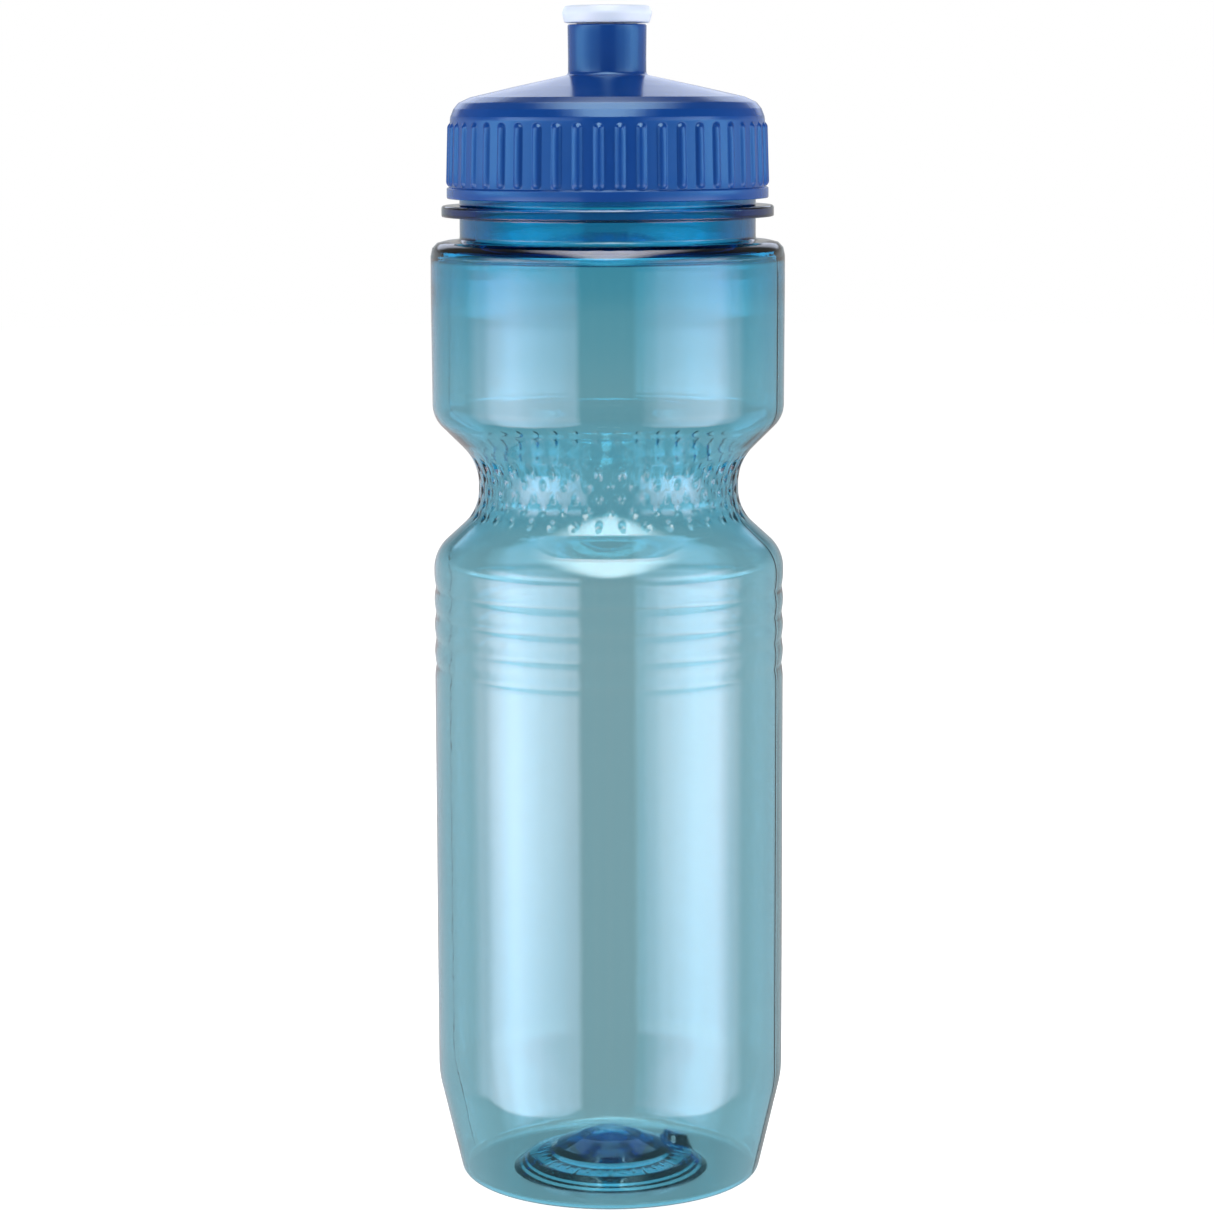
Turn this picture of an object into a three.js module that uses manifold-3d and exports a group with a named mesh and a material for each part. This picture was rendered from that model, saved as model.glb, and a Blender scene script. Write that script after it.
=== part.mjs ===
// Sports squeeze bottle: a waisted, transparent blow-moulded bottle with a ribbed screw cap and a
// push-pull nozzle. Millimetres, +Z up, the foot on z = 0 and the bottle's axis on the Z axis.
// The nozzle is pushed in, and the cap is screwed down.
import * as THREE from 'three';
import { mergeVertices } from 'three/addons/utils/BufferGeometryUtils.js';
import Module from 'manifold-3d';

const wasm = await Module();
wasm.setup();

// ---- Driving dimensions ----
const BOTTLE_SEGMENTS = 40;     // around the bottle
const CAP_SEGMENTS = 48;        // around the cap and the liner, one for each rib
const SMALL_SEGMENTS = 32;      // around the nozzle and the post

// Bottle
const BODY_R = 36.4;            // both chambers
const WALL = 0.8;
const WAIST_R = 26.85;
const FOOT_R = 29.4;            // outer edge of the flat foot
const HEEL_R = 2.2;             // rounding between the foot and the tapered heel
const HEEL_TILT = 13;           // degrees that the tapered heel leans out from vertical
const TAPER_TOP_Z = 24;
const TAPER_BLEND_R = 20;
const SHOULDER_Z = 196.2;
const SHOULDER_ROUND = 3.4;
const PUSH_UP_R = 18.4;         // inner edge of the flat foot, where the base rises
const PUSH_UP_LIP = 0.5;        // height of the step at that edge
const PUSH_UP_CREASE = [12, 4]; // radius and height where the rising cone meets the dome
const PUSH_UP_TOP = 6.7;
const GROOVE_TOP_Z = 125.1;     // highest of the four grip grooves
const GROOVE_PITCH = 5.45;
const GROOVE_COUNT = 4;
const GROOVE_DEPTH = 0.45;
const GROOVE_HALF = 1.1;

// Waist: each end is a rounding out of the chamber, a slope, and a hollow curve into the waist.
const WAIST_UPPER = { bendZ: 146.4, hollowR: 11, tilt: 46, roundR: 6.2, chamberZ: 162.9 };
const WAIST_LOWER = { bendZ: 145.3, hollowR: 10, tilt: 50, roundR: 7.8, chamberZ: 128.9 };

// Neck and thread
const NECK_R = 30.35;           // plain neck under the thread
const NECK_BORE_R = 27.3;
const THREAD_ROOT_R = 29.9;
const THREAD_CREST_R = 31.0;
const TRANSFER_RING = { r: 34.1, low: 201.3, high: 203.6 };
const NECK_TOP_Z = 205.4;       // the threaded part starts here
const LIP_Z = 221.0;
const THREAD_PITCH = 4.23;      // six threads to the inch
const THREAD_TURNS = 1.25;
const THREAD_START_Z = 213.2;   // centre of the bottle's thread at its lower end
const THREAD_ROOT_HALF = 1.1;   // half of the thread's height at its root
const THREAD_CREST_HALF = 0.5;
const THREAD_STEPS = 60;
const THREAD_TAPER = 0.12;      // share of the thread's length over which each end fades away

// Cap
const SKIRT_LOW_Z = 205.0;
const RIM_TOP_Z = 206.8;        // the plain rim under the ribs
const RIM_R = 32.95;
const SKIRT_LOW_R = 32.5;       // between the ribs, at the rim
const SKIRT_TOP_R = 32.15;      // between the ribs, under the top corner
const SKIRT_BORE_R = 31.4;
const CAP_THREAD_R = 30.25;
const DECK_UNDER_Z = 222.8;
const DECK_THICK = 1.8;
const CONE_FOOT = [28.2, 225.45];
const CONE_TOP = [8.6, 229.95];
const CROWN_CORNERS = [[32.05, 221.6], [31.45, 223.1], [30.4, 224.4]]; // from the side up to the cone
const RIB_COUNT = 48;
const RIB_FIRST_DEG = -3.1;
const RIB_TOP_Z = 220.3;
const RIB_LOW_CREST_R = 33.0;
const RIB_TOP_CREST_R = 32.6;
const RIB_ROOT_HALF = 1.0;
const RIB_CREST_HALF = 0.6;
const CHIMNEY_R = 8.05;
const CHIMNEY_TOP_Z = 240.1;
const CHIMNEY_BORE_R = 7.0;
const CHIMNEY_LIP_BORE_R = 6.45; // the inward lip that keeps the nozzle in
const CHIMNEY_LIP_Z = 238.0;

// Sealing post, held by three spokes in a collar under the chimney
const COLLAR_R = 8.4;
const COLLAR_LOW_Z = 225.4;
const SPOKE_COUNT = 3;
const SPOKE_LOW_Z = 225.6;
const SPOKE_TOP_Z = 228.2;
const SPOKE_WIDTH = 1.8;
const POST_R = 3.0;
const POST_SHOULDER_Z = 236.0;
const POST_TIP_R = 2.0;
const POST_TOP_Z = 243.2;

// Liner, the flat sealing ring between the bottle's lip and the cap
const LINER = { inner: 27.6, outer: 31.0, low: 221.3, high: 222.5 };

// Nozzle
const NOZZLE_LIP_R = 9.2;
const NOZZLE_LIP_Z = [240.4, 243.9];
const NOZZLE_TUBE_R = 6.15;
const NOZZLE_BEAD_R = 6.7;      // the foot's bead, which stops under the chimney's lip
const NOZZLE_FOOT_Z = 229.0;
const NOZZLE_BEAD_TOP_Z = 230.6;
const NOZZLE_BORE_R = 4.6;
const NOZZLE_HOLE_R = 2.35;
const NOZZLE_BORE_TOP_Z = 239.6;
const NOZZLE_HOLE_LOW_Z = 241.6;

const COLOURS = { bottle: 0x6fa9c0, cap: 0x2655a5, liner: 0xdfe3e6, nozzle: 0xdfe7f3 };

// ---- Helpers ----
const radians = THREE.MathUtils.degToRad;

// A manifold solid from a three.js geometry whose surface is closed.
function solid(geometry) {
  const bare = geometry.clone();
  bare.deleteAttribute('normal');
  bare.deleteAttribute('uv');
  const merged = mergeVertices(bare, 1e-4);
  const source = merged.index.array;
  const triangles = [];
  for (let i = 0; i < source.length; i += 3) {
    const [a, b, c] = [source[i], source[i + 1], source[i + 2]];
    if (a !== b && b !== c && c !== a) triangles.push(a, b, c);
  }
  const positions = new Float32Array(merged.attributes.position.array);
  if (enclosedVolume(positions, triangles) < 0) triangles.reverse();
  return new wasm.Manifold(new wasm.Mesh({
    numProp: 3,
    vertProperties: positions,
    triVerts: new Uint32Array(triangles),
  }));
}

function enclosedVolume(positions, triangles) {
  const corner = (i) => new THREE.Vector3().fromArray(positions, 3 * triangles[i]);
  let volume = 0;
  for (let i = 0; i < triangles.length; i += 3) {
    volume += corner(i).dot(corner(i + 1).cross(corner(i + 2))) / 6;
  }
  return volume;
}

// Points of a profile along an arc about (r, z). Angles in degrees: 0 points outwards, 90 up.
function arc(r, z, radius, fromDeg, toDeg, steps) {
  const points = [];
  for (let i = 0; i <= steps; i++) {
    const angle = radians(fromDeg + (toDeg - fromDeg) * i / steps);
    points.push([r + radius * Math.cos(angle), z + radius * Math.sin(angle)]);
  }
  return points;
}

// A closed profile of [r, z] points turned about the Z axis. Angle 0 is at -Y and grows to +X.
function revolve(profile, segments) {
  const ring = [...profile, profile[0]].map(([r, z]) => new THREE.Vector2(r, z));
  return solid(new THREE.LatheGeometry(ring, segments).rotateX(Math.PI / 2));
}

// A trapezoid thread wound on the Z axis as a right-hand helix. Its root is sunk into the wall.
function thread({ sunkR, rootR, crestR, startDeg, startZ }) {
  const section = new THREE.Shape([
    new THREE.Vector2(sunkR, -THREAD_ROOT_HALF),
    new THREE.Vector2(crestR, -THREAD_CREST_HALF),
    new THREE.Vector2(crestR, THREAD_CREST_HALF),
    new THREE.Vector2(sunkR, THREAD_ROOT_HALF),
  ]);
  const bar = new THREE.ExtrudeGeometry(section, { depth: 1, steps: THREAD_STEPS, bevelEnabled: false });
  const place = bar.attributes.position;
  for (let i = 0; i < place.count; i++) {
    const along = place.getZ(i);
    const end = Math.min(along, 1 - along) / THREAD_TAPER;
    const height = Math.min(1, end);
    const r = place.getX(i) === crestR ? rootR + (crestR - rootR) * (0.08 + 0.92 * height) : sunkR;
    const angle = radians(startDeg) + along * THREAD_TURNS * 2 * Math.PI;
    const z = startZ + along * THREAD_TURNS * THREAD_PITCH + place.getY(i);
    place.setXYZ(i, r * Math.sin(angle), -r * Math.cos(angle), z);
  }
  return solid(bar);
}

// The outline of the waist between the chambers, from the lower chamber up.
function waistOutline(chamberR, waistR, offset, steps) {
  const half = (side, up) => {
    const roundR = side.roundR - offset;
    const hollowR = side.hollowR + offset;
    const round = arc(chamberR - roundR, side.chamberZ, roundR, 0, up * side.tilt, steps);
    const hollow = arc(waistR + hollowR, side.bendZ, hollowR, 180 + up * side.tilt, 180, steps);
    return [...round, ...hollow];
  };
  return [...half(WAIST_LOWER, 1), ...half(WAIST_UPPER, -1).reverse()];
}

// ---- Bottle ----
function grooveOutline() {
  const points = [];
  for (let i = GROOVE_COUNT - 1; i >= 0; i--) {
    const z = GROOVE_TOP_Z - i * GROOVE_PITCH;
    points.push([BODY_R, z - GROOVE_HALF], [BODY_R - GROOVE_DEPTH, z], [BODY_R, z + GROOVE_HALF]);
  }
  return points;
}

// The tapered heel and the rounding into the foot, for the outside (inset 0) or the inside.
function heelOutline(inset) {
  const foot = arc(FOOT_R, HEEL_R, HEEL_R - inset, -90, -HEEL_TILT, 3);
  const blendR = TAPER_BLEND_R - inset;
  const blend = arc(BODY_R - TAPER_BLEND_R, TAPER_TOP_Z, blendR, -HEEL_TILT, 0, 2);
  return [...foot, ...blend];
}

function makeBottle() {
  const [creaseR, creaseZ] = PUSH_UP_CREASE;
  const outside = [
    [0, PUSH_UP_TOP],
    [creaseR / 2, (3 * PUSH_UP_TOP + creaseZ) / 4],
    PUSH_UP_CREASE,
    [PUSH_UP_R - 0.6, PUSH_UP_LIP],
    [PUSH_UP_R, 0],
    ...heelOutline(0),
    ...grooveOutline(),
    ...waistOutline(BODY_R, WAIST_R, 0, 3),
    ...arc(BODY_R - SHOULDER_ROUND, SHOULDER_Z - SHOULDER_ROUND, SHOULDER_ROUND, 0, 90, 4),
    [NECK_R, SHOULDER_Z + 0.2],
    [NECK_R, TRANSFER_RING.low],
    [TRANSFER_RING.r, TRANSFER_RING.low],
    [TRANSFER_RING.r, TRANSFER_RING.high - 0.6],
    [TRANSFER_RING.r - 0.6, TRANSFER_RING.high],
    [NECK_R, TRANSFER_RING.high],
    [NECK_R, NECK_TOP_Z],
    [THREAD_ROOT_R, NECK_TOP_Z + 0.5],
    [THREAD_ROOT_R, LIP_Z - 0.5],
    [THREAD_ROOT_R - 0.5, LIP_Z],
  ];
  const innerShoulder = SHOULDER_ROUND - WALL;
  const inside = [
    [NECK_BORE_R, LIP_Z],
    [NECK_BORE_R, SHOULDER_Z - WALL],
    ...arc(BODY_R - SHOULDER_ROUND, SHOULDER_Z - SHOULDER_ROUND, innerShoulder, 90, 0, 2),
    ...waistOutline(BODY_R - WALL, WAIST_R - WALL, WALL, 2).reverse(),
    ...heelOutline(WALL).reverse(),
    [PUSH_UP_R - 1, WALL],
    [creaseR, creaseZ + WALL],
    [creaseR / 2, (3 * PUSH_UP_TOP + creaseZ) / 4 + WALL],
    [0, PUSH_UP_TOP + WALL],
  ];
  const shell = revolve([...outside, ...inside], BOTTLE_SEGMENTS);
  const threadSolid = thread({
    sunkR: THREAD_ROOT_R - 0.5,
    rootR: THREAD_ROOT_R,
    crestR: THREAD_CREST_R,
    startDeg: 0,
    startZ: THREAD_START_Z,
  });
  return shell.add(threadSolid);
}

// ---- Cap ----
function makeRib(angleDeg) {
  const side = new THREE.Shape([
    new THREE.Vector2(SKIRT_TOP_R - 0.4, RIM_TOP_Z - 0.5),
    new THREE.Vector2(RIB_LOW_CREST_R, RIM_TOP_Z - 0.5),
    new THREE.Vector2(RIB_TOP_CREST_R, RIB_TOP_Z - 1.0),
    new THREE.Vector2(SKIRT_TOP_R - 0.1, RIB_TOP_Z),
    new THREE.Vector2(SKIRT_TOP_R - 0.4, RIB_TOP_Z),
  ]);
  const rib = new THREE.ExtrudeGeometry(side, { depth: 2, bevelEnabled: false });
  const place = rib.attributes.position;
  const angle = radians(angleDeg);
  for (let i = 0; i < place.count; i++) {
    const r = place.getX(i);
    const half = r < SKIRT_TOP_R ? RIB_ROOT_HALF : RIB_CREST_HALF;
    const across = half * (1 - place.getZ(i));
    const x = r * Math.sin(angle) + across * Math.cos(angle);
    const y = -r * Math.cos(angle) + across * Math.sin(angle);
    place.setXYZ(i, x, y, place.getY(i));
  }
  return solid(rib);
}

function makePost() {
  const post = revolve([
    [0, SPOKE_LOW_Z],
    [POST_R, SPOKE_LOW_Z],
    [POST_R, POST_SHOULDER_Z],
    [POST_TIP_R, POST_SHOULDER_Z + 1],
    [POST_TIP_R, POST_TOP_Z - 0.4],
    [POST_TIP_R - 0.4, POST_TOP_Z],
    [0, POST_TOP_Z],
  ], SMALL_SEGMENTS);
  const reach = (CHIMNEY_R + CHIMNEY_BORE_R) / 2;
  let spider = post;
  for (let i = 0; i < SPOKE_COUNT; i++) {
    const spoke = new THREE.BoxGeometry(reach, SPOKE_WIDTH, SPOKE_TOP_Z - SPOKE_LOW_Z);
    spoke.translate(reach / 2, 0, (SPOKE_TOP_Z + SPOKE_LOW_Z) / 2);
    spoke.rotateZ(i * 2 * Math.PI / SPOKE_COUNT + Math.PI / 2);
    spider = spider.add(solid(spoke));
  }
  return spider;
}

function makeCap() {
  const [coneR, coneZ] = CONE_FOOT;
  const shell = revolve([
    [SKIRT_BORE_R, SKIRT_LOW_Z],
    [RIM_R - 0.2, SKIRT_LOW_Z],
    [RIM_R, SKIRT_LOW_Z + 0.3],
    [RIM_R, RIM_TOP_Z - 0.2],
    [SKIRT_LOW_R, RIM_TOP_Z],
    [SKIRT_TOP_R, RIB_TOP_Z],
    ...CROWN_CORNERS,
    [coneR, coneZ],
    CONE_TOP,
    [CHIMNEY_R, CONE_TOP[1] + 0.7],
    [CHIMNEY_R, CHIMNEY_TOP_Z - 0.4],
    [CHIMNEY_R - 0.4, CHIMNEY_TOP_Z],
    [CHIMNEY_LIP_BORE_R, CHIMNEY_TOP_Z],
    [CHIMNEY_LIP_BORE_R, CHIMNEY_LIP_Z],
    [CHIMNEY_BORE_R, CHIMNEY_LIP_Z],
    [CHIMNEY_BORE_R, COLLAR_LOW_Z],
    [COLLAR_R, COLLAR_LOW_Z],
    [COLLAR_R, CONE_TOP[1] - DECK_THICK],
    [coneR - 1.5, DECK_UNDER_Z],
    [SKIRT_BORE_R, DECK_UNDER_Z],
  ], CAP_SEGMENTS);
  const threadSolid = thread({
    sunkR: SKIRT_BORE_R + 0.3,
    rootR: SKIRT_BORE_R,
    crestR: CAP_THREAD_R,
    startDeg: -90,
    startZ: THREAD_START_Z - THREAD_PITCH / 4 - 0.46 * THREAD_PITCH,
  });
  let cap = shell.add(threadSolid).add(makePost());
  for (let i = 0; i < RIB_COUNT; i++) {
    cap = cap.add(makeRib(RIB_FIRST_DEG + i * 360 / RIB_COUNT));
  }
  return cap;
}

// ---- Liner ----
function makeLiner() {
  return revolve([
    [LINER.inner, LINER.low],
    [LINER.outer, LINER.low],
    [LINER.outer, LINER.high],
    [LINER.inner, LINER.high],
  ], CAP_SEGMENTS);
}

// ---- Nozzle ----
function makeNozzle() {
  const [lipLow, lipHigh] = NOZZLE_LIP_Z;
  const round = 0.9;
  return revolve([
    [NOZZLE_BORE_R, NOZZLE_FOOT_Z],
    [NOZZLE_BEAD_R - 0.4, NOZZLE_FOOT_Z],
    [NOZZLE_BEAD_R, NOZZLE_FOOT_Z + 0.6],
    [NOZZLE_BEAD_R, NOZZLE_BEAD_TOP_Z],
    [NOZZLE_TUBE_R, NOZZLE_BEAD_TOP_Z],
    [NOZZLE_TUBE_R, lipLow],
    ...arc(NOZZLE_LIP_R - round, lipLow + round, round, -90, 0, 2),
    ...arc(NOZZLE_LIP_R - round, lipHigh - round, round, 0, 90, 2),
    [NOZZLE_HOLE_R, lipHigh],
    [NOZZLE_HOLE_R, NOZZLE_HOLE_LOW_Z],
    [NOZZLE_BORE_R, NOZZLE_BORE_TOP_Z],
  ], SMALL_SEGMENTS);
}

// ---- Scene ----
function meshOf(name, manifold, materialValues) {
  const data = manifold.getMesh();
  const geometry = new THREE.BufferGeometry();
  geometry.setAttribute('position', new THREE.BufferAttribute(new Float32Array(data.vertProperties), 3));
  geometry.setIndex(new THREE.BufferAttribute(new Uint32Array(data.triVerts), 1));
  geometry.computeVertexNormals();
  const mesh = new THREE.Mesh(geometry, new THREE.MeshStandardMaterial(materialValues));
  mesh.name = name;
  return mesh;
}

const bottleLook = { color: COLOURS.bottle, roughness: 0.08, metalness: 0, transparent: true, opacity: 0.4 };
const capLook = { color: COLOURS.cap, roughness: 0.3, metalness: 0 };
const linerLook = { color: COLOURS.liner, roughness: 0.6, metalness: 0 };
const nozzleLook = { color: COLOURS.nozzle, roughness: 0.4, metalness: 0 };

const capGroup = new THREE.Group();
capGroup.add(
  meshOf('screw_cap', makeCap(), capLook),
  meshOf('cap_liner', makeLiner(), linerLook),
  meshOf('push_pull_nozzle', makeNozzle(), nozzleLook),
);

const sportsBottle = new THREE.Group();
sportsBottle.add(meshOf('bottle', makeBottle(), bottleLook), capGroup);

export default sportsBottle;
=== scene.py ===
"""Sports squeeze bottle: a clear blue waisted bottle with a ribbed screw cap and a push-pull nozzle.

Profiles are (radius, height) in millimetres above the foot. Azimuth 0 faces the camera, at -Y,
and grows towards +X. Every piece is a surface of rings around the Z axis. Its profile comes in
sections, and a section's shape function moves each point by what stands out or sinks in there.
"""
import math

import bpy
from mathutils import Matrix, Vector, noise


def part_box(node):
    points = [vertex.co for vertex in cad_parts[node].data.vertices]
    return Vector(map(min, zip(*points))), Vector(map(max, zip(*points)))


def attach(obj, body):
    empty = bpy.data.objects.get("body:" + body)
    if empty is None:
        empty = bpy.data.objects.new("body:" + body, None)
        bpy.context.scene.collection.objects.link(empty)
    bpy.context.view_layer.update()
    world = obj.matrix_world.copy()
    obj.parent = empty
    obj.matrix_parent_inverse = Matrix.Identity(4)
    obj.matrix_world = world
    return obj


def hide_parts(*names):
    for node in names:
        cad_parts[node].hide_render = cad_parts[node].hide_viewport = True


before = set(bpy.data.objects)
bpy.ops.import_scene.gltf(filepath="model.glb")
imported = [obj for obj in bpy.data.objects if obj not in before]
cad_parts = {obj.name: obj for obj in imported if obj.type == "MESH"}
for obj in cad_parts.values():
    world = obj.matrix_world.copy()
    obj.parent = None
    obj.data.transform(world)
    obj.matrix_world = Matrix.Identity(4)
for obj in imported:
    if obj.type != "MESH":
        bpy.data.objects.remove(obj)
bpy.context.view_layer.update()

MM = 0.001
TINY = 1e-6

# ---- Sizes taken from the frame ----
bottle_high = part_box("bottle")[1]
cap_low, cap_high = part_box("screw_cap")
liner_low, liner_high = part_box("cap_liner")
nozzle_low, nozzle_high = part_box("push_pull_nozzle")

ROOM = 0.05  # left free inside the frame's box
BODY_R = bottle_high.x / MM - ROOM
LIP_Z = bottle_high.z / MM
SKIRT_LOW_Z = cap_low.z / MM
RIM_R = cap_high.x / MM - ROOM
NOZZLE_FOOT_Z = nozzle_low.z / MM
NOZZLE_TOP_Z = nozzle_high.z / MM
NOZZLE_LIP_R = nozzle_high.x / MM

# ---- Bottle ----
# The blown wall's thickness at heights above the foot: thick near the neck, the waist and the heel.
WALL_AT = ((2, 0.6), (12, 0.55), (30, 0.54), (110, 0.52), (130, 0.6), (146, 0.95), (163, 0.75),
           (181, 1.0), (190, 1.4), (196, 1.8))
# How much of the outside's relief shows inside.
INNER_WAVE, INNER_GROOVE, INNER_DIMPLE = 0.7, 0.9, 0.6
CHAMBER_R = BODY_R - 0.1
FOOT_R = 29.4
HEEL_R = 2.2
INNER_HEEL_R = 1.6
HEEL_TILT = -13
TAPER_TOP_Z = 24
TAPER_BLEND_R = 20
WAIST_R = 26.85
UPPER_BEND = {"waist_z": 146.4, "hollow_r": 11.0, "tilt": -46, "round_r": 6.2, "chamber_z": 162.9}
LOWER_BEND = {"waist_z": 145.3, "hollow_r": 10.0, "tilt": 50, "round_r": 7.8, "chamber_z": 128.9}
UPPER_Z = (163.3, 186, 189.8)
SHOULDER_LOW_Z = 190
SHOULDER_Z = 196.2
SHOULDER_ROUND = 3.4
NECK_R = 30.35
NECK_BORE_R = 27.3
TRANSFER_R = 34.05
TRANSFER_Z = (201.3, 203.6)
THREAD_ROOT_R = 29.9
THREADED_Z = (206.9, 220.0)
THREAD_HEIGHT = 1.1
THREAD_HALF = 1.15
THREAD_PITCH = 4.23
THREAD_START_Z = 213.2
THREAD_TURNS = 1.25
GROOVE_PITCH = 5.4
GROOVE_Z = [125.1 - i * GROOVE_PITCH for i in range(4)]
GROOVE_DEPTH = 0.32
GROOVE_SHARPNESS = 1.7
GROOVED_Z = (105, 128.5)
BROAD_WAVE = 0.05
FINE_WAVE = 0.015
EVEN_STEPS = 156
SEAM_DEG = (71.0, 251.0)
SEAM_STEPS_DEG = (-0.75, -0.42, -0.18, 0.0, 0.18, 0.42, 0.75)
SEAM_CLEAR_DEG = 1.2
SEAM_HEIGHT = 0.09
SEAM_HALF = 0.28
DIMPLE_COUNT = 36
DIMPLE_HALF_WIDTH = 0.95
# Each row of waist dimples: height above the foot, first azimuth, half height, depth.
DIMPLE_ROWS = (
    (151.0, 5.8, 1.75, 0.85),
    (148.4, 0.8, 1.15, 0.45),
    (145.7, 5.8, 1.15, 0.42),
    (143.1, 0.8, 1.1, 0.4),
    (140.4, 5.8, 1.05, 0.4),
)
DIMPLE_ZONE = (138.5, 153.6)
TICK_COUNT = 36
TICK_R = (13.3, 15.3)
TICK_Z = (1.7, 1.15)
TICK_HEIGHT = 0.15
# How far short of the outer radius a long and a short tick fade away.
LONG_TICK, SHORT_TICK = (0.5, 0.1), (1.6, 1.2)
LUG_DEG = 112
LUG_R = 15.2
LUG_HALF = 3.4
LUG_HEIGHT = 2.2

# ---- Cap ----
RIB_COUNT = 48
RIB_FIRST_DEG = -3.1
RIB_HALF = 1.08
RIB_LOW_Z = 207.4
RIB_CREST = 0.55
RIB_TOP_Z = 220.4
RIB_STEPS = (-1.2, -1.08, -0.85, -0.55, -0.25, 0, 0.25, 0.55, 0.85, 1.08, 1.2)
RIM_TOP_Z = 207.1
SKIRT_LOW_R = 32.5
SKIRT_HIGH_R = 32.18
SKIRT_TOP = (32.15, 220.9)
SKIRT_BORE_R = 31.4
CAP_THREAD_HEIGHT = 1.15
CHIMNEY_R = 8.05
CHIMNEY_TOP_Z = 240.1
CHIMNEY_BORE_R = 7.0
CHIMNEY_MOUTH_R = 6.45
POST_R = 3.0
POST_TIP_R = 2.0
POST_TOP_Z = 243.2
SPOKE_Z = (225.6, 228.2)
SPOKE_WIDTH = 1.8
SPOKE_COUNT = 3
SPOKE_SINK = 0.4
SPOKE_BEVEL = 0.25

# ---- Liner and nozzle ----
LINER_ROUND = 0.15
NOZZLE_LIP_LOW_Z = 240.4
NOZZLE_TUBE_R = 6.15
NOZZLE_BEAD_R = 6.7
NOZZLE_BORE_R = 4.6
NOZZLE_HOLE_R = 2.35


# ---- Profiles ----
def arc(r, z, radius, start, end, steps):
    """Points about (r, z) from one angle to another, in degrees: 0 points outwards, 90 up."""
    angles = [math.radians(start + (end - start) * i / steps) for i in range(steps + 1)]
    return [(r + radius * math.cos(a), z + radius * math.sin(a)) for a in angles]


def rounded(corners, steps=4, guard=0.0):
    """A profile through corners of (r, z, rounding radius), each corner turned into a curve.

    A guard adds a point that far outside each end of a curve, which keeps the straights flat.
    """
    points = [corners[0][:2]]
    for before, corner, after in zip(corners, corners[1:], corners[2:]):
        here = Vector(corner[:2])
        back, ahead = Vector(before[:2]) - here, Vector(after[:2]) - here
        reach = corner[2] / math.tan(back.angle(ahead) / 2)
        reach = min(reach, back.length * 0.49, ahead.length * 0.49)
        start, end = here + back.normalized() * reach, here + ahead.normalized() * reach
        curve = [start * (1 - t) ** 2 + here * 2 * t * (1 - t) + end * t ** 2
                 for t in (k / steps for k in range(steps + 1))]
        if guard:
            curve = [start + back.normalized() * guard, *curve, end + ahead.normalized() * guard]
        points += [tuple(point) for point in curve]
    return points + [corners[-1][:2]]


def spaced(points, spacing):
    """The same profile with no step longer than spacing."""
    result = [points[0]]
    for (r0, z0), (r1, z1) in zip(points, points[1:]):
        count = math.ceil(math.hypot(r1 - r0, z1 - z0) / spacing)
        result += [(r0 + (r1 - r0) * i / count, z0 + (z1 - z0) * i / count)
                   for i in range(1, count + 1)]
    return result


def bend(side, steps):
    """One end of the waist, from the chamber in: a rounding, a slope and a hollow."""
    hollow_centre_r = WAIST_R + side["hollow_r"]
    first = arc(CHAMBER_R - side["round_r"], side["chamber_z"], side["round_r"], 0, side["tilt"], steps)
    last = arc(hollow_centre_r, side["waist_z"], side["hollow_r"], 180 + side["tilt"], 180, steps)
    return first + last


def inset(points, thickness):
    """The profile moved inwards, square to itself, by the thickness at each height."""
    moved = []
    for i, (r, z) in enumerate(points):
        before, after = Vector(points[max(i - 1, 0)]), Vector(points[min(i + 1, len(points) - 1)])
        along = (after - before).normalized()
        depth = thickness(z)
        moved.append((r - along.y * depth, z + along.x * depth))
    return moved


def wall_thickness(z):
    """The blown wall's thickness at a height."""
    for (low, thin), (high, thick) in zip(WALL_AT, WALL_AT[1:]):
        if z < high:
            return thin + (thick - thin) * ease(z, low, high)
    return WALL_AT[-1][1]


# ---- Surfaces ----
def even_angles(count):
    return [math.radians(360 * i / count) for i in range(count)]


def split_angles(angles, parts):
    """Each gap between neighbouring angles cut into equal parts."""
    ends = angles[1:] + [angles[0] + 2 * math.pi]
    return [a + (b - a) * k / parts for a, b in zip(angles, ends) for k in range(parts)]


def turned(name, angles, sections, closed=False):
    """A piece from sections of (profile, stride, shape). A ring uses every stride-th angle.

    A point on the axis is a pole that its whole neighbouring ring meets. A closed piece's last
    ring joins its first.
    """
    count = len(angles)
    points, rings = [], []
    for profile, stride, shape in sections:
        for r, z in profile:
            pole = r < TINY
            step = count if pole else stride
            ring = {}
            for i in range(0, count, step):
                pr, pz = shape(r, z, angles[i]) if shape and not pole else (r, z)
                ring[i] = len(points)
                points.append((pr * math.sin(angles[i]) * MM, -pr * math.cos(angles[i]) * MM, pz * MM))
            rings.append((step, ring))
    if closed:
        rings.append(rings[0])
    faces = []
    for (step_a, ring_a), (step_b, ring_b) in zip(rings, rings[1:]):
        width = min(step_a, step_b) if count in (step_a, step_b) else max(step_a, step_b)
        for start in range(0, count, width):
            low = span(ring_a, step_a, start, width, count)
            high = span(ring_b, step_b, start, width, count)
            faces.append(low + high[::-1])
    mesh = bpy.data.meshes.new(name)
    mesh.from_pydata(points, [], faces)
    mesh.shade_smooth()
    piece = bpy.data.objects.new(name, mesh)
    bpy.context.scene.collection.objects.link(piece)
    return piece


def span(ring, step, start, width, count):
    """The ring's points from one shared angle to the next."""
    if step == count:
        return [ring[0]]
    return [ring[(start + k) % count] for k in range(0, width + 1, step)]


def swell(x):
    """A smooth hump: 1 at 0, falling to 0 at 1 and beyond."""
    return (1 - x * x) ** 2 if abs(x) < 1 else 0.0


def ease(value, low, high):
    """0 below low, 1 above high, and a smooth rise between them."""
    t = min(1.0, max(0.0, (value - low) / (high - low)))
    return t * t * (3 - 2 * t)


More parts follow.
